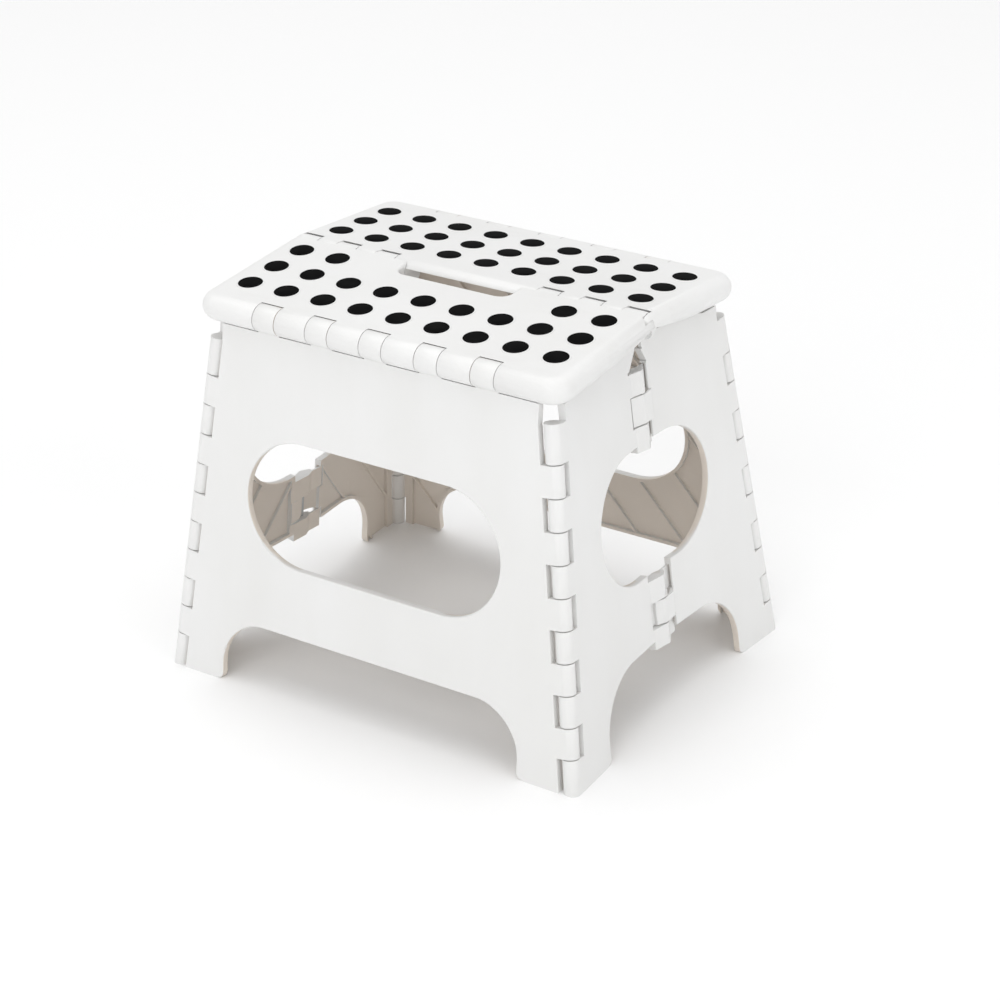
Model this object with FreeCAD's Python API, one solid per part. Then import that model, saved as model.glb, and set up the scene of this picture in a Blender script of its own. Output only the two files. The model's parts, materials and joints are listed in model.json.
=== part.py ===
import FreeCAD, Part
import math
import os
from FreeCAD import Matrix, Placement, Vector

os.makedirs("parts", exist_ok=True)

# Stance: the four outer faces at the floor and how fast they lean in, and the crown of the top
foot_half_x = 161.6
foot_half_y = 129.4
lean_x = 0.1248
lean_y = 0.1164
ridge_z = 271.0
crown_deg = 4.23
end_inset_deg = 3.6

# Walls
skin = 2.4
panel_depth = 5.0
rim_width = 2.4
corner_border = 13.0
panel_top = 233.0
panel_field_top = 224.0
rib_width = 1.6
rib_pitch = 39.0
rib_lean_deg = 38.0
rib_setback = 0.4
edge_round = 0.9

# Top halves
top_half_length = 139.0
edge_r = 9.0
plan_corner_r = 15.0
top_skin = 3.0
edge_inset = 2.42
skirt_floor = 16.0
skirt_width = 4.6
fold_wall = 12.5
web_floor = 8.0
fold_half_deg = 7.6
fold_clearance = 0.4

# Barrel hinges along the fold and along the two long edges
barrel_clearance = 0.55
fold_slit = 1.1
fold_side_gap = 0.4
edge_side_gap = 0.55
pin_r = 2.0
grip_fit = 0.01
running_fit = 0.06
pin_end_play = 0.5
fold_knuckle_pitch = 0.2252 * top_half_length
fold_knuckle_half = 8.0
fold_end = 1.5
fold_flat = 11.0
fold_pin_half = top_half_length - 12.5
edge_knuckle_pitch = 0.2978 * top_half_length
edge_knuckle_half = 8.25
edge_pin_half = top_half_length - 27.0
neck_half_front = top_half_length - 19.0

# Hand hold in the middle of the fold
slot_half = 43.0
slot_reach = 19.5
slot_corner_r = 8.0
slot_lip_r = 2.2
slot_rim_depth = 9.0
slot_edge = 4.5
slot_pin_gap = 3.0

# Corner hinges
corner_r = 5.6
corner_clearance = 1.3
corner_gap = 0.4
corner_pin_r = 1.8
corner_pin_span = (7.0, 234.0)
corner_levels = [23.2 + 20.95 * k for k in range(10)]
corner_top = 237.5

# Openings in the long panels
front_oval = (98.0, 43.0, 137.0)
front_arch = (117.0, 46.0, 34.0)

# Openings in the end leaves
end_oval = (65.0, 43.0, 143.0)
end_arch = (82.0, 52.5, 40.0)
end_neck_half = 90.0
end_neck_foot = 235.5
end_top = 246.0
end_relief = [(10.5, 236.5), (5.5, end_top)]
end_field_top = 228.0
end_middle_border = 18.0
foot_toe_r = 5.0

# Thin crest of the end leaves behind the skirts of the top: distance from the middle and level
crest_foot = (78.0, end_top - 1.0)
crest_shoulder = (60.0, 251.0)
crest_peak = 254.0
crest_side = {"front": 1.0, "rear": 6.5}
crest_lap = (3.0, -9.0, 247.5, 253.0)

# Middle hinges of the ends: levels of the front barrels and of the rear straps
end_pin_r = 1.4
front_barrels = [(47.0, 61.0), (79.5, 95.0), (182.0, 198.5), (219.5, 234.5)]
rear_straps = [(62.0, 78.5), (199.5, 218.5)]
end_barrel_r = 3.4
end_setback = {"low": 14.2, "high": 12.5, "barrel": 9.6}
front_tongue = {"low": 7.0, "barrel": 6.8}
rear_tongue = {"low": 7.2, "high": 10.2}
lap_cover = 1.3
lap_gap = 0.25
lap_thickness = 1.2
lap_root = 1.4
lap_past = 2.4
lap_room = 1.0
low_hinge_top = 120.0
end_hinge_top = 236.6
barrel_ramp = {"low": 13.0, "barrel": 9.8}
strap_inner = 1.9
strap_outer = 3.4
end_pins = [(48.5, 93.5), (183.5, 233.0)]

# Grip pads
pad_r = 8.05
pad_seat = 1.2
pad_proud = 0.8
pad_fit = 0.05
pad_round = 0.5
pad_pitch = 0.20863 * top_half_length
pad_columns = [pad_pitch * k for k in range(-4, 5)]
pad_rows = [20.8, 47.9, 75.0]
pad_ring_r = 9.1
pad_ring_height = 0.35

# Lengths for cutting right through, for walls that run on below the floor, and for overlap where walls join
far = 400.0
through = 40.0
below_floor = 6.0
bite = 0.2

crown = math.radians(crown_deg)
stretch_x = math.hypot(1.0, lean_x)
stretch_y = math.hypot(1.0, lean_y)
fold_axis = Vector(0.0, 0.0, ridge_z - edge_r)
top_reach = foot_half_y - lean_y * fold_axis.z - edge_inset * stretch_y
top_reach = top_reach / (math.cos(crown) - lean_y * math.sin(crown))
edge_axis_y = top_reach * math.cos(crown)
edge_axis_z = fold_axis.z - top_reach * math.sin(crown)


def box(x0, x1, y0, y1, z0, z1):
    return Part.makeBox(x1 - x0, y1 - y0, z1 - z0, Vector(x0, y0, z0))


def rod(radius, start, end):
    start = Vector(*start)
    along = Vector(*end) - start
    return Part.makeCylinder(radius, along.Length, start, along)


def joined(shapes):
    first, rest = shapes[0], shapes[1:]
    whole = first.fuse(rest) if rest else first
    return whole.removeSplitter()


def plate(points, low, high):
    face = Part.Face(Part.makePolygon([Vector(x, y, low) for x, y in points + points[:1]]))
    return face.extrude(Vector(0, 0, high - low))


def stadium(half, radius, middle, grow, low, high):
    reach = half - radius
    radius = radius + grow
    pieces = [box(-reach, reach, middle - radius, middle + radius, low, high)]
    for x in (-reach, reach):
        pieces.append(rod(radius, (x, middle, low), (x, middle, high)))
    return joined(pieces)


def arch(half, height, radius, grow, low, high):
    half, height, radius = half + grow, height + grow, radius + grow
    shoulder = half - radius
    pieces = [box(-half, half, -20, height - radius, low, high)]
    pieces.append(box(-shoulder, shoulder, -20, height, low, high))
    for x in (-shoulder, shoulder):
        pieces.append(rod(radius, (x, height - radius, low), (x, height - radius, high)))
    opening = joined(pieces)
    if grow:
        return opening
    for side in (-1, 1):
        wide = box(0, foot_toe_r + 1, -20, foot_toe_r, low, high)
        toe = [(foot_toe_r, foot_toe_r, z) for z in (low - 1, high + 1)]
        wide = wide.cut(rod(foot_toe_r, *toe))
        wide = wide.cut(box(foot_toe_r, foot_toe_r + 2, -30, foot_toe_r + 1, low - 1, high + 1))
        if side < 0:
            wide = wide.mirror(Vector(0, 0, 0), Vector(1, 0, 0))
        wide.translate(Vector(side * half, 0, 0))
        opening = opening.fuse(wide)
    return opening.removeSplitter()


def softened(solid, opening, radius):
    edges = []
    for edge in solid.Edges:
        low, high = edge.BoundBox.ZMin, edge.BoundBox.ZMax
        if abs(low) > 1e-6 or abs(high) > 1e-6:
            continue
        middle = edge.valueAt(0.5 * (edge.FirstParameter + edge.LastParameter))
        if opening.isInside(middle, 1e-4, True):
            edges.append(edge)
    return solid.makeFillet(radius, edges)


def frame(origin, across, up, out):
    return Placement(Matrix(across.x, up.x, out.x, origin.x,
                            across.y, up.y, out.y, origin.y,
                            across.z, up.z, out.z, origin.z,
                            0, 0, 0, 1))


def placed(shape, place):
    return shape.transformed(place.toMatrix(), True)


def mirrored(shape, axis):
    return shape.mirror(Vector(0, 0, 0), axis)


front_frame = frame(Vector(0, -foot_half_y, 0), Vector(1, 0, 0),
                    Vector(0, lean_y, 1) / stretch_y, Vector(0, -1, lean_y) / stretch_y)
end_frame = frame(Vector(foot_half_x, 0, 0), Vector(0, 1, 0),
                  Vector(-lean_x, 0, 1) / stretch_x, Vector(1, 0, lean_x) / stretch_x)

# The corner hinge line of the front right corner, from the floor up
corner_foot = Vector(foot_half_x - corner_r * stretch_x, -(foot_half_y - corner_r * stretch_y), 0)
corner_line = Vector(-lean_x, lean_y, 1).normalize()
corner_head = corner_foot + corner_line * far
end_turn = Placement(Vector(0, 0, 0), FreeCAD.Rotation(corner_line, end_inset_deg), corner_foot)
corner_in_front = [front_frame.inverse().multVec(p) for p in (corner_foot, corner_head)]
corner_in_end = [end_frame.inverse().multVec(p) for p in (corner_foot, corner_head)]


def corner_spans(kind):
    bounds = [-2 * below_floor] + corner_levels + [corner_top]
    spans = list(zip(bounds[:-1], bounds[1:]))
    return spans[0::2] if kind == "end" else spans[1::2]


def at(line, s):
    return line[0] + (line[1] - line[0]) * (s / far)


def corner_hinge(body, line, inward, kind):
    along = (line[1] - line[0]).normalize()
    normal = along.cross(inward).normalize()
    inward = normal.cross(along)
    other = "front" if kind == "end" else "end"
    reach = corner_r + corner_clearance
    for low, high in corner_spans(other):
        notch = box(-through, reach, -through, through, low - corner_gap, high + corner_gap)
        notch = placed(notch, frame(line[0], inward, normal, inward.cross(normal)))
        body = body.cut(notch)
    barrels = []
    for low, high in corner_spans(kind):
        barrels.append(rod(corner_r, at(line, low + corner_gap), at(line, high - corner_gap)))
    body = joined([body] + barrels)
    fit = grip_fit if kind == "front" else running_fit
    low, high = corner_pin_span
    return body.cut(rod(corner_pin_r + fit, at(line, low - bite), at(line, high + bite)))


def ribs(span, height, lean):
    strips = []
    count = int((span + height) / rib_pitch) + 2
    for k in range(-count, count + 1):
        strip = box(-rib_width / 2, rib_width / 2, -far, far, -panel_depth + rib_setback, -skin)
        strip.rotate(Vector(0, 0, 0), Vector(0, 0, 1), lean)
        strip.translate(Vector(k * rib_pitch, height / 2, 0))
        strips.append(strip)
    return Part.makeCompound(strips)


def shell(outline, field, oval, gate, lean):
    """A moulded wall: a skin with softened openings, rims round them and slanting ribs behind"""
    whole = plate(outline, -panel_depth, 0)
    hole = stadium(*oval, 0.0, -through, through)
    foot = arch(*gate, 0.0, -through, through)
    outer = plate(outline, -skin, 0).cut([hole, foot])
    outer = softened(outer, hole, edge_round)
    outer = softened(outer, foot, edge_round)
    lining = [stadium(*oval, rim_width, -panel_depth, -skin + bite)]
    lining.append(arch(*gate, rim_width, -panel_depth, -skin + bite))
    border = plate(outline, -panel_depth, -skin + bite).cut(plate(field, -through, through))
    backing = ribs(2 * foot_half_x, panel_top, lean).common(plate(field, -panel_depth, -skin + bite))
    rear = joined([border] + lining).common(whole)
    rear = rear.fuse(backing).cut([hole, foot])
    return outer.fuse(rear).removeSplitter()


def floor_trim(shape):
    return shape.cut(box(-far, far, -far, far, -through, 0))


def across(line, v):
    share = (v - line[0].y) / (line[1].y - line[0].y)
    return line[0].x + share * (line[1].x - line[0].x)


def gaps_between(spans, low, high):
    ends = [low] + [value for span in spans for value in span] + [high]
    return list(zip(ends[0::2], ends[1::2]))


edge_spans = [(k * edge_knuckle_pitch - edge_knuckle_half, k * edge_knuckle_pitch + edge_knuckle_half)
              for k in range(-2, 3)]
front_fold_spans = [(k * fold_knuckle_pitch - fold_knuckle_half, k * fold_knuckle_pitch + fold_knuckle_half)
                    for k in (-4, -3, -2, 2, 3, 4)]
rear_fold_spans = gaps_between(front_fold_spans, fold_end - top_half_length, top_half_length - fold_end)
fold_pins = [(slot_half + slot_pin_gap, fold_pin_half), (-fold_pin_half, -slot_half - slot_pin_gap)]


def barrel(spans, radius, gap, y, z):
    return [rod(radius, (low + gap, y, z), (high - gap, y, z)) for low, high in spans]


def fold_core():
    """The round-ended rod within which the knuckles of the fold lie"""
    reach = top_half_length - edge_r
    pieces = [rod(edge_r, (-reach, 0, -edge_r), (reach, 0, -edge_r))]
    for x in (-reach, reach):
        pieces.append(Part.makeSphere(edge_r, Vector(x, 0, -edge_r)))
    return joined(pieces)


def long_panel():
    """One long side wall with its corner knuckles and the five knuckles under the top's edge"""
    line = corner_in_front
    axis = front_frame.inverse().multVec(Vector(0, -edge_axis_y, edge_axis_z))
    side = [(across(line, v), v) for v in (-below_floor, panel_top)]
    side = side + [(neck_half_front, panel_top), (neck_half_front, axis.y)]
    outline = side + [(-x, y) for x, y in reversed(side)]
    inner = [(across(line, v) - corner_border, v) for v in (-below_floor, panel_field_top)]
    field = inner + [(-x, y) for x, y in reversed(inner)]
    body = shell(outline, field, front_oval, front_arch, rib_lean_deg)
    for low, high in gaps_between(edge_spans, -far, far):
        body = body.cut(rod(edge_r + barrel_clearance, (low, axis.y, axis.z), (high, axis.y, axis.z)))
    body = joined([body] + barrel(edge_spans, edge_r, 0.0, axis.y, axis.z))
    reach = edge_pin_half + pin_end_play
    body = body.cut(rod(pin_r + running_fit, (-reach, axis.y, axis.z), (reach, axis.y, axis.z)))
    body = corner_hinge(body, line, Vector(-1, 0, 0), "front")
    flipped = [Vector(-p.x, p.y, p.z) for p in line]
    body = corner_hinge(body, flipped, Vector(1, 0, 0), "front")
    return floor_trim(placed(body, front_frame))


def top_slab():
    inner = top_half_length - edge_r
    turn = plan_corner_r - edge_r
    deep = -2 * edge_r
    pieces = [box(-inner, inner, 0, top_reach - turn, deep, 0)]
    pieces.append(box(-inner + turn, inner - turn, 0, top_reach, deep, 0))
    pieces.append(rod(edge_r, (turn - inner, top_reach, -edge_r), (inner - turn, top_reach, -edge_r)))
    low, tip, high = Vector(turn, 0, deep), Vector(turn + edge_r, 0, deep / 2), Vector(turn, 0, 0)
    path = [Part.makeLine(Vector(0, 0, deep), low),
            Part.Arc(low, tip, high).toShape(),
            Part.makeLine(high, Vector(0, 0, 0)),
            Part.makeLine(Vector(0, 0, 0), Vector(0, 0, deep))]
    round_corner = Part.Face(Part.Wire(path)).revolve(Vector(0, 0, 0), Vector(0, 0, 1), 360)
    for side in (-1, 1):
        pieces.append(rod(edge_r, (side * inner, 0, -edge_r), (side * inner, top_reach - turn, -edge_r)))
        corner = round_corner.copy()
        corner.translate(Vector(side * (inner - turn), top_reach - turn, 0))
        pieces.append(corner)
    return joined(pieces)


def slot_block(grow, low, high):
    half, reach, turn = slot_half + grow, slot_reach + grow, slot_corner_r + grow
    pieces = [box(-half, half, -through, reach - turn, low, high)]
    pieces.append(box(turn - half, half - turn, -through, reach, low, high))
    for side in (-1, 1):
        x = side * (half - turn)
        pieces.append(rod(turn, (x, reach - turn, low), (x, reach - turn, high)))
    return joined(pieces)


def pad_places(kind):
    places = []
    for row in pad_rows:
        for column in pad_columns:
            if kind == "rear" or row != pad_rows[0] or abs(column) > slot_half + slot_reach:
                places.append((column, row))
    return places


def top_half(kind):
    """One half of the step: crowned shell, long-edge barrels, fold knuckles, ribs and pad seats"""
    own, other = rear_fold_spans, front_fold_spans
    if kind == "front":
        own, other = front_fold_spans, rear_fold_spans
    body = top_slab()
    slope = math.tan(math.radians(fold_half_deg))
    line = [(s, -edge_r + fold_clearance - slope * s) for s in (-edge_r, top_reach + through)]
    rim = line + [(top_reach + through, -far), (-edge_r, -far), line[0]]
    wedge = Part.Face(Part.makePolygon([Vector(-far, y, z) for y, z in rim]))
    body = body.cut(wedge.extrude(Vector(2 * far, 0, 0)))
    room_x, room_y = top_half_length - skirt_width, (fold_wall, top_reach - edge_r - 0.5)
    body = body.cut(box(-room_x, room_x, room_y[0], room_y[1], -far, -top_skin))
    body = body.cut(box(-far, far, -through, room_y[1], -far, -skirt_floor))
    webs = []
    for inner_row, outer_row in zip(pad_rows[:-1], pad_rows[1:]):
        middle = (inner_row + outer_row) / 2
        webs.append(box(-room_x, room_x, middle - rib_width, middle, -web_floor, -top_skin + bite))
    for place in (3.5 * pad_pitch, 2.5 * pad_pitch, slot_half + slot_corner_r + 1.0):
        for x in (-place, place):
            web = (x - rib_width / 2, x + rib_width / 2, fold_wall - 0.5, room_y[1] + 0.5)
            webs.append(box(*web, -web_floor, -top_skin + bite))
    body = joined([body] + webs)
    if kind == "front":
        rim = slot_block(rim_width, -slot_rim_depth, -bite)
        body = joined([body, rim.common(box(-far, far, 0, far, -far, 0))])
        body = body.cut(slot_block(0.0, -through, through))
        body = softened(body, slot_block(bite, -1.0, 1.0), slot_lip_r)
    slit = fold_slit if kind == "rear" else barrel_clearance
    for low, high in other:
        body = body.cut(rod(edge_r + slit, (low, 0, -edge_r), (high, 0, -edge_r)))
    for low, high in edge_spans:
        room = [(x, top_reach, -edge_r) for x in (low - edge_side_gap, high + edge_side_gap)]
        body = body.cut(rod(edge_r + barrel_clearance, *room))
    core = fold_core()
    knuckles = [knuckle.common(core) for knuckle in barrel(own, edge_r + 1.0, fold_side_gap, 0, -edge_r)]
    body = joined([body] + knuckles)
    if kind == "rear":
        body = body.cut(box(-slot_half, slot_half, -through, fold_wall, -through, -slot_edge))
    for x in (-top_half_length, top_half_length - fold_flat):
        body = body.cut(box(x, x + fold_flat, -through, 0, -through, fold_clearance - edge_r))
    fold_fit = grip_fit if kind == "rear" else running_fit
    for low, high in fold_pins:
        bore = [(x, 0, -edge_r) for x in (low - pin_end_play, high + pin_end_play)]
        body = body.cut(rod(pin_r + fold_fit, *bore))
    reach = edge_pin_half + pin_end_play
    body = body.cut(rod(pin_r + grip_fit, (-reach, top_reach, -edge_r), (reach, top_reach, -edge_r)))
    rings = []
    seats = []
    for x, y in pad_places(kind):
        rings.append(rod(pad_ring_r, (x, y, -bite), (x, y, pad_ring_height)))
        seats.append(rod(pad_r + pad_fit, (x, y, -pad_seat), (x, y, through)))
    return body.fuse(rings).cut(seats).removeSplitter()


def pads(kind):
    discs = []
    for x, y in pad_places(kind):
        disc = rod(pad_r, (x, y, -pad_seat), (x, y, pad_proud))
        rim = [edge for edge in disc.Edges if edge.BoundBox.ZMin > pad_proud - 1e-6]
        discs.append(disc.makeFillet(pad_round, rim))
    return Part.makeCompound(discs)


ridge = Vector(0, 0, fold_axis.z)
front_top_out = Vector(0, -math.sin(crown), math.cos(crown))
front_top_frame = frame(ridge + front_top_out * edge_r, Vector(-1, 0, 0),
                        Vector(0, -math.cos(crown), -math.sin(crown)), front_top_out)
rear_top_out = Vector(0, math.sin(crown), math.cos(crown))
rear_top_frame = frame(ridge + rear_top_out * edge_r, Vector(1, 0, 0),
                       Vector(0, math.cos(crown), -math.sin(crown)), rear_top_out)

# Where the middle hinge line lies across an end leaf, so that the turned leaves meet in the middle
end_inset = math.radians(end_inset_deg)
leaf_width = -across(corner_in_end, low_hinge_top)
leaf_middle = leaf_width * (1 - math.cos(end_inset)) - corner_r * math.sin(end_inset)


def profile(points, low, high):
    corners = [Vector(leaf_middle - t, low, n) for t, n in points]
    return Part.Face(Part.makePolygon(corners + corners[:1])).extrude(Vector(0, high - low, 0))


def leaf_rod(radius, low, high):
    return rod(radius, (leaf_middle, low, 0), (leaf_middle, high, 0))


def lap(edge, reach, low, high):
    """A lip that runs on behind the edge of the other leaf"""
    near = -lap_cover - lap_gap
    back = near - lap_thickness
    root = lap_root - edge
    points = [(root, 0), (-edge, 0), (-edge, near), (-reach, near), (-reach, back), (root, back)]
    return profile(points, low, high)


def lap_pocket(place, low, high):
    """The room behind a leaf's edge for the lip of the other leaf"""
    deep = end_setback[place] + lap_past + lap_room
    points = [(-through, -lap_cover), (deep, -lap_cover), (deep, -through), (-through, -through)]
    return profile(points, low - lap_room / 2, high + lap_room / 2)


def setback(place, low, high):
    """The strip that an end leaf gives up beside the middle line"""
    return box(leaf_middle - end_setback[place], through, low, high, -through, through)


def front_barrel(low, high):
    place = "low" if high < low_hinge_top else "barrel"
    tongue, foot = front_tongue[place], barrel_ramp[place]
    peak = end_barrel_r - bite
    ramp = profile([(foot, 0), (foot - 2, 0.6), (1.2, peak), (-1.2, peak), (-tongue, 0.4),
                    (-tongue, -2.2), (0, -panel_depth), (foot, -panel_depth)], low, high)
    lip = lap(tongue, end_setback[place] + lap_past, low, high)
    return joined([ramp, leaf_rod(end_barrel_r, low, high), lip])


def rear_strap(low, high, place):
    """A strap over the middle pin, open behind it so that the pin can leave while the ends fold"""
    roof, reach, tongue = strap_inner + 0.1, end_setback[place] - 0.2, rear_tongue[place]
    under = [(0, roof), (4, roof), (8, 0.7), (10, -0.2), (reach, -2.6), (reach, -panel_depth)]
    over = [(reach + 4, -panel_depth), (reach + 4, -0.3), (reach - 0.4, 0), (reach - 3.5, 2.5)]
    over.append((0, strap_outer))
    loop = leaf_rod(strap_outer, low, high)
    loop = loop.cut(profile([(0, roof), (9, roof), (9, -9), (0, -9)], low - 1, high + 1))
    lip = profile([(-1, 3.1), (-tongue, 0.6), (-tongue, -1.0), (-1, -1.0)], low, high)
    hook = joined([profile(under + over, low, high), loop, lip])
    hook = hook.cut(leaf_rod(strap_inner, low - 1, high + 1))
    hook = hook.cut(profile([(-30, -1.0), (5, -1.0), (5, -9), (-30, -9)], low - 1, high + 1))
    return joined([hook, lap(tongue, end_setback[place] + lap_past, low, high)])


def crest(kind):
    """The thin top of an end leaf that closes the view under the skirts"""
    side = crest_side[kind]
    base_t, base_v = end_relief[0]
    outline = [crest_foot, crest_shoulder, (side + 7.0, crest_peak), (side, crest_peak)]
    outline = outline + [(side, crest_lap[2]), (base_t, base_v), (crest_foot[0], base_v)]
    tab = plate([(leaf_middle - t, v) for t, v in outline], -skin, 0)
    if kind == "rear":
        return [tab]
    start, stop, low, high = crest_lap
    near = -skin - lap_gap
    back = near - lap_thickness
    points = [(start, -1.0), (start, back), (stop, back), (stop, near), (side, near), (side, -1.0)]
    return [tab, profile(points, low, high)]


def end_leaf(kind):
    """One half of an end wall; the front kind carries the barrels and the rear kind the straps"""
    line = corner_in_end
    relief = [(leaf_middle - t, v) for t, v in end_relief]
    neck = [(-end_neck_half, end_top), (-end_neck_half, end_neck_foot)]
    neck.append((across(line, end_neck_foot), end_neck_foot))
    outline = [(across(line, -below_floor), -below_floor), (leaf_middle, -below_floor)]
    outline = outline + [(leaf_middle, relief[0][1])] + relief + neck
    field = [(across(line, v) + corner_border, v) for v in (end_field_top, -below_floor)]
    field = field + [(-end_middle_border, v) for v in (-below_floor, end_field_top)]
    body = shell(outline, field, end_oval, end_arch, -rib_lean_deg)
    if kind == "rear":
        body = body.cut(setback("low", -through, low_hinge_top))
        body = body.cut(setback("barrel", low_hinge_top, end_hinge_top))
        body = body.cut(setback("high", *rear_straps[1]))
        for low, high in front_barrels:
            body = body.cut(lap_pocket("low" if high < low_hinge_top else "barrel", low, high))
        straps = [rear_strap(*rear_straps[0], "low"), rear_strap(*rear_straps[1], "high")]
        body = joined([body] + straps + crest(kind))
    else:
        for low, high in gaps_between(front_barrels, -through, end_hinge_top):
            if low < low_hinge_top:
                body = body.cut(setback("low", low, min(high, low_hinge_top)))
            if high > low_hinge_top:
                body = body.cut(setback("high", max(low, low_hinge_top), high))
        for place, span in zip(("low", "high"), rear_straps):
            body = body.cut(lap_pocket(place, *span))
        barrels = [front_barrel(low, high) for low, high in front_barrels]
        body = joined([body] + barrels + crest(kind))
        for low, high in end_pins:
            body = body.cut(leaf_rod(end_pin_r + grip_fit, low, high))
    body = corner_hinge(body, line, Vector(1, 0, 0), "end")
    return floor_trim(placed(placed(body, end_frame), end_turn))


def end_pin(low, high):
    return placed(placed(leaf_rod(end_pin_r, low, high), end_frame), end_turn)


flip_x, flip_y = Vector(1, 0, 0), Vector(0, 1, 0)
nodes = {}
nodes["front_panel"] = long_panel()
nodes["rear_panel"] = mirrored(nodes["front_panel"], flip_y)
nodes["top_front_half"] = placed(top_half("front"), front_top_frame)
nodes["top_rear_half"] = placed(top_half("rear"), rear_top_frame)
nodes["front_grip_pads"] = placed(pads("front"), front_top_frame)
nodes["rear_grip_pads"] = placed(pads("rear"), rear_top_frame)
nodes["right_end_front_leaf"] = end_leaf("front")
nodes["right_end_rear_leaf"] = mirrored(end_leaf("rear"), flip_y)
nodes["left_end_front_leaf"] = mirrored(nodes["right_end_front_leaf"], flip_x)
nodes["left_end_rear_leaf"] = mirrored(nodes["right_end_rear_leaf"], flip_x)

for name, (low, high) in zip(("right", "left"), fold_pins):
    nodes[name + "_fold_pin"] = rod(pin_r, (low, 0, fold_axis.z), (high, 0, fold_axis.z))
edge_pin = [(x, -edge_axis_y, edge_axis_z) for x in (-edge_pin_half, edge_pin_half)]
nodes["front_edge_pin"] = rod(pin_r, *edge_pin)
nodes["rear_edge_pin"] = mirrored(nodes["front_edge_pin"], flip_y)
low, high = corner_pin_span
corner_pin = rod(corner_pin_r, corner_foot + corner_line * low, corner_foot + corner_line * high)
nodes["front_right_corner_pin"] = corner_pin
nodes["front_left_corner_pin"] = mirrored(corner_pin, flip_x)
nodes["rear_right_corner_pin"] = mirrored(corner_pin, flip_y)
nodes["rear_left_corner_pin"] = mirrored(nodes["rear_right_corner_pin"], flip_x)
for name, span in zip(("lower", "upper"), end_pins):
    pin = end_pin(*span)
    nodes["right_end_" + name + "_pin"] = pin
    nodes["left_end_" + name + "_pin"] = mirrored(pin, flip_x)

for name, shape in nodes.items():
    shape.exportStep("parts/" + name + ".step")
    print(name, len(shape.Solids), round(shape.Volume / 1000.0, 2), shape.isValid())
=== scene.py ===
import json
import math

import bmesh
import bpy
from mathutils import Matrix, Vector


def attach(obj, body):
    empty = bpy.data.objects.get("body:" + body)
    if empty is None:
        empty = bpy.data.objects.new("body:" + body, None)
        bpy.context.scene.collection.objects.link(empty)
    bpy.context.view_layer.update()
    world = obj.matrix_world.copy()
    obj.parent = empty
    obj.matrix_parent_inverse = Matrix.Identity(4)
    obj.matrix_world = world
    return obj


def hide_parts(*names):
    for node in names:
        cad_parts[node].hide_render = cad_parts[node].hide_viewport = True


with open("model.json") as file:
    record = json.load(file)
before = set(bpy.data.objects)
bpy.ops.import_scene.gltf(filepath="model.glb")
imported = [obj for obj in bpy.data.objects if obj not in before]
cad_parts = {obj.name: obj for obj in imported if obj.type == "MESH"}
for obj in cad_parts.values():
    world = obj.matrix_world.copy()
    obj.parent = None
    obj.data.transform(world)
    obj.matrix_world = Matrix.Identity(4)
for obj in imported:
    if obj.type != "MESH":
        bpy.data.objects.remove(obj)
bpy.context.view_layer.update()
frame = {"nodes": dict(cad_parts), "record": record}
nodes = frame["nodes"]
print("frame loaded,", len(nodes), "nodes")

mm = 0.001


# Shader sockets as Python values

class Wire:
    def __init__(self, tree, socket):
        self.tree = tree
        self.socket = socket

    def maths(self, operation, first, second):
        return addNode(self.tree, "ShaderNodeMath", {"operation": operation}, {0: first, 1: second})

    def __add__(self, other):
        return self.maths("ADD", self, other)

    __radd__ = __add__

    def __mul__(self, other):
        return self.maths("MULTIPLY", self, other)

    __rmul__ = __mul__

    def __sub__(self, other):
        return self.maths("SUBTRACT", self, other)

    def __rsub__(self, other):
        return self.maths("SUBTRACT", other, self)

    def __abs__(self):
        return self.maths("ABSOLUTE", self, 0.0)

    def least(self, other):
        return self.maths("MINIMUM", self, other)


def plug(tree, value, socket):
    if isinstance(value, Wire):
        tree.links.new(value.socket, socket)
    else:
        socket.default_value = value


def addNode(tree, kind, settings, inputs, output=0):
    node = tree.nodes.new(kind)
    for name, value in settings.items():
        setattr(node, name, value)
    for name, value in inputs.items():
        plug(tree, value, node.inputs[name])
    return Wire(tree, node.outputs[output])


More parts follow.
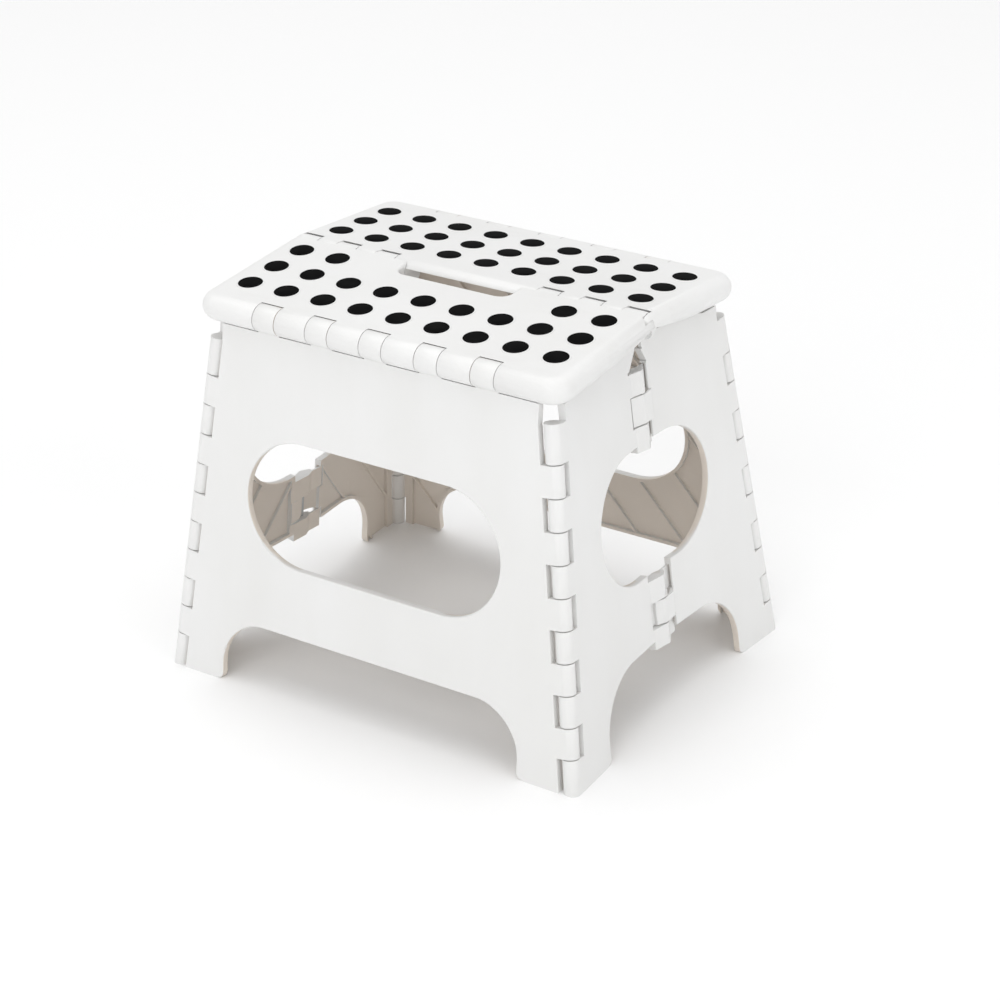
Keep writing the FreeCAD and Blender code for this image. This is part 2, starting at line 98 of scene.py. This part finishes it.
class Finish:
    def __init__(self, name):
        self.material = bpy.data.materials.new(name)
        self.material.use_nodes = True
        self.tree = self.material.node_tree
        self.shader = self.tree.nodes["Principled BSDF"]
        self.place = self.node("ShaderNodeTexCoord", {}, {}, "Object")

    def node(self, kind, settings, inputs, output=0):
        return addNode(self.tree, kind, settings, inputs, output)

    def noise(self, scale, detail, stretch=(1.0, 1.0, 1.0)):
        where = self.node("ShaderNodeMapping", {}, {"Vector": self.place, "Scale": stretch})
        return self.node("ShaderNodeTexNoise", {}, {"Vector": where, "Scale": scale, "Detail": detail}, "Fac")

    def cells(self, scale):
        inputs = {"Vector": self.place, "Scale": scale}
        return self.node("ShaderNodeTexVoronoi", {"feature": "F1"}, inputs, "Distance")

    def ramp(self, value, low, high):
        limits = {"Value": value, "From Min": low, "From Max": high}
        return self.node("ShaderNodeMapRange", {"clamp": True}, limits, "Result")

    def blend(self, share, first, second):
        inputs = {0: share, 6: first, 7: second}  # the colour sockets of a Mix node
        return self.node("ShaderNodeMix", {"data_type": "RGBA"}, inputs, 2)

    def bump(self, height, distance, below=None):
        inputs = {"Height": height, "Distance": distance, "Strength": 1.0}
        if below is not None:
            inputs["Normal"] = below
        return self.node("ShaderNodeBump", {}, inputs, "Normal")

    def axis(self, name):
        return self.node("ShaderNodeSeparateXYZ", {}, {0: self.place}, name)

    def inward(self):  # how squarely a face looks to the stool's middle, times its distance from there
        facing = self.node("ShaderNodeTexCoord", {}, {}, "Normal")
        level = {0: self.place, 1: (1.0, 1.0, 0.0)}
        out = self.node("ShaderNodeVectorMath", {"operation": "MULTIPLY"}, level)
        outward = self.node("ShaderNodeVectorMath", {"operation": "DOT_PRODUCT"}, {0: facing, 1: out}, "Value")
        return outward * -1.0

    def set(self, **sockets):
        for name, value in sockets.items():
            plug(self.tree, value, self.shader.inputs[name.replace("_", " ")])


# White moulded plastic of the four walls, with painted shade: a warm grey tone painted on the inside faces

wallPlastic = {
    "fresh": (0.815, 0.815, 0.81, 1.0),
    "clouded": (0.775, 0.773, 0.76, 1.0),
    "cloud": {"scale": 7.0, "detail": 3.0},
    "flow": {"scale": 26.0, "detail": 4.0, "stretch": (1.0, 1.0, 0.18)},
    "cloudShare": 0.6,
    "toneLimits": (0.36, 0.66),
    # painted shade: the warm grey tone laid on the faces inside the stool
    "inside": (0.765, 0.685, 0.60, 1.0),
    "paintedShadeShare": 0.85,
    "paintedShadeLimits": (20 * mm, 60 * mm),
    "footHalf": (161.6 * mm, 129.4 * mm),  # outer faces at the floor
    "lean": (0.1248, 0.1164),  # how far they lean in with height
    "knuckleDepth": 12 * mm,
    "knuckleEdge": 1 * mm,
    "knuckleShare": 0.75,  # of the painted inside shade, taken off the corner knuckles
    "roughness": 0.29,
    "roughnessAdded": {"flow": 0.10, "grain": 0.05, "inside": 0.12},
    "waveHeight": 0.22 * mm,
    "grain": {"scale": 1900.0, "detail": 2.0},
    "grainHeight": 0.025 * mm,
    "ior": 1.49,
}


def cornerDepth(finish, settings):  # above 0 in the corner knuckles, near both of the outer faces that lean in; there less painted shade is laid
    depths = []
    for axis, half, lean in zip("XY", settings["footHalf"], settings["lean"]):
        depths.append(abs(finish.axis(axis)) + lean * finish.axis("Z") - (half - settings["knuckleDepth"]))
    return depths[0].least(depths[1])


def makeWallPlastic(name, settings):
    finish = Finish(name)
    cloud = finish.noise(**settings["cloud"])
    flow = finish.noise(**settings["flow"])
    grain = finish.noise(**settings["grain"])
    share = settings["cloudShare"]
    tone = finish.ramp(cloud * share + flow * (1 - share), *settings["toneLimits"])
    skin = finish.blend(tone, settings["fresh"], settings["clouded"])
    # painted shade: faces turned to the stool's middle take the warm grey tone, less on the corner knuckles;
    # roughness rises there too
    knuckle = finish.ramp(cornerDepth(finish, settings), 0.0, settings["knuckleEdge"])
    paintedShade = finish.ramp(finish.inward(), *settings["paintedShadeLimits"]) * (1 - settings["knuckleShare"] * knuckle)
    finish.set(Base_Color=finish.blend(paintedShade * settings["paintedShadeShare"], skin, settings["inside"]))
    added = settings["roughnessAdded"]
    uneven = added["flow"] * flow + added["grain"] * grain + added["inside"] * paintedShade
    finish.set(Roughness=settings["roughness"] + uneven)
    wave = finish.bump(flow, settings["waveHeight"])
    finish.set(Normal=finish.bump(grain, settings["grainHeight"], wave))
    finish.set(IOR=settings["ior"])
    return finish.material


# The step's plastic has a stippled skin and faint scuffs from shoes

stepPlastic = {
    "fresh": (0.82, 0.82, 0.815, 1.0),
    "scuffed": (0.76, 0.757, 0.745, 1.0),
    "cloud": {"scale": 9.0, "detail": 3.0},
    "cloudLimits": (0.35, 0.68),
    "cloudShare": 0.6,
    "scuff": {"scale": 60.0, "detail": 6.0, "stretch": (0.35, 1.0, 1.0)},
    "scuffLimits": (0.56, 0.74),
    "roughness": 0.37,
    "roughnessAdded": {"scuff": 0.14, "cloud": 0.06},
    "stippleScale": 900.0,
    "stippleHeight": 0.06 * mm,
    "ior": 1.49,
}


def makeStepPlastic(name, settings):
    finish = Finish(name)
    cloud = finish.noise(**settings["cloud"])
    scuff = finish.ramp(finish.noise(**settings["scuff"]), *settings["scuffLimits"])
    share = settings["cloudShare"]
    tone = finish.ramp(cloud, *settings["cloudLimits"]) * share + scuff * (1 - share)
    finish.set(Base_Color=finish.blend(tone, settings["fresh"], settings["scuffed"]))
    added = settings["roughnessAdded"]
    finish.set(Roughness=settings["roughness"] + added["scuff"] * scuff + added["cloud"] * cloud)
    stipple = finish.cells(settings["stippleScale"])
    finish.set(Normal=finish.bump(stipple, settings["stippleHeight"]))
    finish.set(IOR=settings["ior"])
    return finish.material


# Black rubber of the grip pads

gripRubber = {
    "black": (0.002, 0.002, 0.0022, 1.0),
    "dusty": (0.007, 0.007, 0.007, 1.0),
    "dust": {"scale": 90.0, "detail": 4.0},
    "dustLimits": (0.42, 0.75),
    "roughness": 0.55,
    "roughnessAdded": 0.2,
    "stipple": {"scale": 1400.0, "detail": 1.0},
    "stippleHeight": 0.06 * mm,
    "shine": 0.03,
}


def makeGripRubber(name, settings):
    finish = Finish(name)
    dust = finish.noise(**settings["dust"])
    share = finish.ramp(dust, *settings["dustLimits"])
    finish.set(Base_Color=finish.blend(share, settings["black"], settings["dusty"]))
    finish.set(Roughness=settings["roughness"] + settings["roughnessAdded"] * dust)
    stipple = finish.noise(**settings["stipple"])
    finish.set(Normal=finish.bump(stipple, settings["stippleHeight"]))
    finish.set(Specular_IOR_Level=settings["shine"])
    return finish.material


# Drawn steel wire of the hinge pins

pinSteel = {
    "light": (0.60, 0.61, 0.62, 1.0),
    "dark": (0.42, 0.42, 0.43, 1.0),
    "drawn": {"scale": 700.0, "detail": 3.0, "stretch": (0.05, 1.0, 0.05)},
    "roughness": 0.25,
    "roughnessAdded": 0.25,
}


def makePinSteel(name, settings):
    finish = Finish(name)
    drawn = finish.noise(**settings["drawn"])
    finish.set(Base_Color=finish.blend(drawn, settings["dark"], settings["light"]))
    finish.set(Roughness=settings["roughness"] + settings["roughnessAdded"] * drawn)
    finish.set(Metallic=1.0)
    return finish.material


finishes = {
    "white_plastic": makeWallPlastic("wallPlastic", wallPlastic),
    "step": makeStepPlastic("stepPlastic", stepPlastic),
    "black_rubber": makeGripRubber("gripRubber", gripRubber),
    "steel": makePinSteel("pinSteel", pinSteel),
}
slots = {part["node"]: part["material_slot"] for part in frame["record"]["subparts"]}
stepNodes = ("top_front_half", "top_rear_half")
for name, node in nodes.items():
    node.data.materials.clear()
    node.data.materials.append(finishes["step" if name in stepNodes else slots[name]])
print("finishes set")


# Softly broken edges on the moulded pieces

brokenEdge = {"width": 0.35 * mm, "segments": 2, "angle": 38.0, "weld": 0.002 * mm}


def breakEdges(node, settings):
    weld = node.modifiers.new("weld", "WELD")
    weld.merge_threshold = settings["weld"]
    bevel = node.modifiers.new("brokenEdge", "BEVEL")
    bevel.width = settings["width"]
    bevel.segments = settings["segments"]
    bevel.limit_method = "ANGLE"
    bevel.angle_limit = math.radians(settings["angle"])
    bevel.use_clamp_overlap = True
    bevel.harden_normals = True


for name, node in nodes.items():
    if slots[name] == "white_plastic":
        breakEdges(node, brokenEdge)
print("edges broken")


# Grip pads: low domes with a groove inside a rounded rim, in millimetres

gripPad = {
    "radius": 8.05,
    "pitch": 29.0,
    "columns": 4,  # each side of the middle one
    "rows": (20.8, 47.9, 75.0),
    "slotReach": 62.5,  # no pads beside the finger slot
    "crownDeg": 4.23,
    "ridge": 271.0,
    "axisDrop": 9.0,
    "profile": [  # share of the radius, height
        (1.0, -1.2), (1.0, 0.35), (0.985, 0.56), (0.955, 0.72), (0.915, 0.80), (0.87, 0.80), (0.835, 0.72),
        (0.80, 0.60), (0.765, 0.60), (0.73, 0.71), (0.66, 0.78), (0.5, 0.85), (0.28, 0.90),
    ],
    "peak": 0.92,
    "turns": 48,
}


def latheDome(mesh, settings, place):
    turns = settings["turns"]
    rings = []
    for share, height in settings["profile"]:
        reach = settings["radius"] * share * mm
        ring = []
        for step in range(turns):
            angle = 2 * math.pi * step / turns
            spot = Vector((reach * math.cos(angle), reach * math.sin(angle), height * mm))
            ring.append(mesh.verts.new(place @ spot))
        rings.append(ring)
    for lower, upper in zip(rings[:-1], rings[1:]):
        for step in range(turns):
            following = (step + 1) % turns
            mesh.faces.new((lower[step], lower[following], upper[following], upper[step]))
    peak = mesh.verts.new(place @ Vector((0, 0, settings["peak"] * mm)))
    for step in range(turns):
        mesh.faces.new((rings[-1][step], rings[-1][(step + 1) % turns], peak))
    mesh.faces.new(list(reversed(rings[0])))


def makeGripPads(name, side, settings):
    crown = math.radians(settings["crownDeg"])
    along = Vector((side, 0, 0))
    down = Vector((0, side * math.cos(crown), -math.sin(crown)))
    out = Vector((0, side * math.sin(crown), math.cos(crown)))
    turn = Matrix((along, down, out)).transposed().to_4x4()
    axis = Vector((0, 0, settings["ridge"] - settings["axisDrop"])) * mm
    origin = axis + out * settings["axisDrop"] * mm
    mesh = bmesh.new()
    for row in settings["rows"]:
        for column in range(-settings["columns"], settings["columns"] + 1):
            x = column * settings["pitch"]
            if side < 0 and row == settings["rows"][0] and abs(x) < settings["slotReach"]:
                continue
            spot = origin + along * x * mm + down * row * mm
            latheDome(mesh, settings, Matrix.Translation(spot) @ turn)
    data = bpy.data.meshes.new(name)
    mesh.to_mesh(data)
    mesh.free()
    data.shade_smooth()
    data.materials.append(finishes["black_rubber"])
    pads = bpy.data.objects.new(name, data)
    bpy.context.scene.collection.objects.link(pads)
    return pads


frontPads = makeGripPads("frontGripDots", -1, gripPad)
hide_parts("front_grip_pads")
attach(frontPads, "top_front")
rearPads = makeGripPads("rearGripDots", 1, gripPad)
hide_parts("rear_grip_pads")
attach(rearPads, "top_rear")
print("grip pads made")


# Studio

studio = {
    "floorHalf": 3.0,
    "paper": (0.96, 0.96, 0.96, 1.0),
    "paperRoughness": 0.9,
    "horizon": 0.95,
    "zenith": 0.42,
    "zenithHeight": 0.4,  # of a ray of length 1
    "lens": 98.1,
    "sensor": 36.0,
    "eye": (0.930, -1.325, 0.907),
    "forward": (-0.5072, 0.7397, -0.4423),
    "up": (-0.2318, 0.3772, 0.8967),
    "aim": (0, 0, 0.15),
    "boxes": {  # place, size, power
        "topBox": ((-0.5, 0.3, 5.0), (6.0, 6.0), 178),
        "frontBox": ((0.6, -3.8, 2.4), (4.0, 3.0), 51),
        "sideBox": ((4.0, -0.8, 1.8), (3.0, 3.0), 29),
    },
}


def makeFloor(settings):
    half = settings["floorHalf"]
    corners = [(-half, -half, 0), (half, -half, 0), (half, half, 0), (-half, half, 0)]
    mesh = bpy.data.meshes.new("floor")
    mesh.from_pydata(corners, [], [(0, 1, 2, 3)])
    floor = bpy.data.objects.new("floor", mesh)
    bpy.context.scene.collection.objects.link(floor)
    finish = Finish("floorPaper")
    finish.set(Base_Color=settings["paper"], Roughness=settings["paperRoughness"])
    mesh.materials.append(finish.material)


def addSoftbox(name, place, size, power, aim):
    lamp = bpy.data.lights.new(name, "AREA")
    lamp.shape = "RECTANGLE"
    lamp.size, lamp.size_y = size
    lamp.energy = power
    box = bpy.data.objects.new(name, lamp)
    box.location = place
    box.rotation_euler = (Vector(aim) - Vector(place)).to_track_quat("-Z", "Y").to_euler()
    bpy.context.scene.collection.objects.link(box)


def addCamera(settings):
    lens = bpy.data.cameras.new("camera")
    lens.sensor_width = settings["sensor"]
    lens.sensor_height = settings["sensor"]
    lens.lens = settings["lens"]
    camera = bpy.data.objects.new("camera", lens)
    forward = Vector(settings["forward"]).normalized()
    right = forward.cross(Vector(settings["up"])).normalized()
    turn = Matrix((right, right.cross(forward), -forward)).transposed()
    camera.matrix_world = Matrix.Translation(settings["eye"]) @ turn.to_4x4()
    bpy.context.scene.collection.objects.link(camera)
    bpy.context.scene.camera = camera


def makeWorld(settings):  # white light that falls off from the horizon upwards
    world = bpy.data.worlds.new("studioWorld")
    world.use_nodes = True
    tree = world.node_tree
    backdrop = tree.nodes["Background"]
    backdrop.inputs["Color"].default_value = (1.0, 1.0, 1.0, 1.0)
    ray = addNode(tree, "ShaderNodeTexCoord", {}, {}, "Generated")
    height = addNode(tree, "ShaderNodeSeparateXYZ", {}, {0: ray}, "Z")
    limits = {"Value": height, "From Min": 0.0, "From Max": settings["zenithHeight"],
              "To Min": settings["horizon"], "To Max": settings["zenith"]}
    glow = addNode(tree, "ShaderNodeMapRange", {"clamp": True}, limits, "Result")
    plug(tree, glow, backdrop.inputs["Strength"])
    return world


makeFloor(studio)
for name, (place, size, power) in studio["boxes"].items():
    addSoftbox(name, place, size, power, studio["aim"])
addCamera(studio)
scene = bpy.context.scene
scene.world = makeWorld(studio)
scene.view_settings.view_transform = "Standard"
print("studio set")
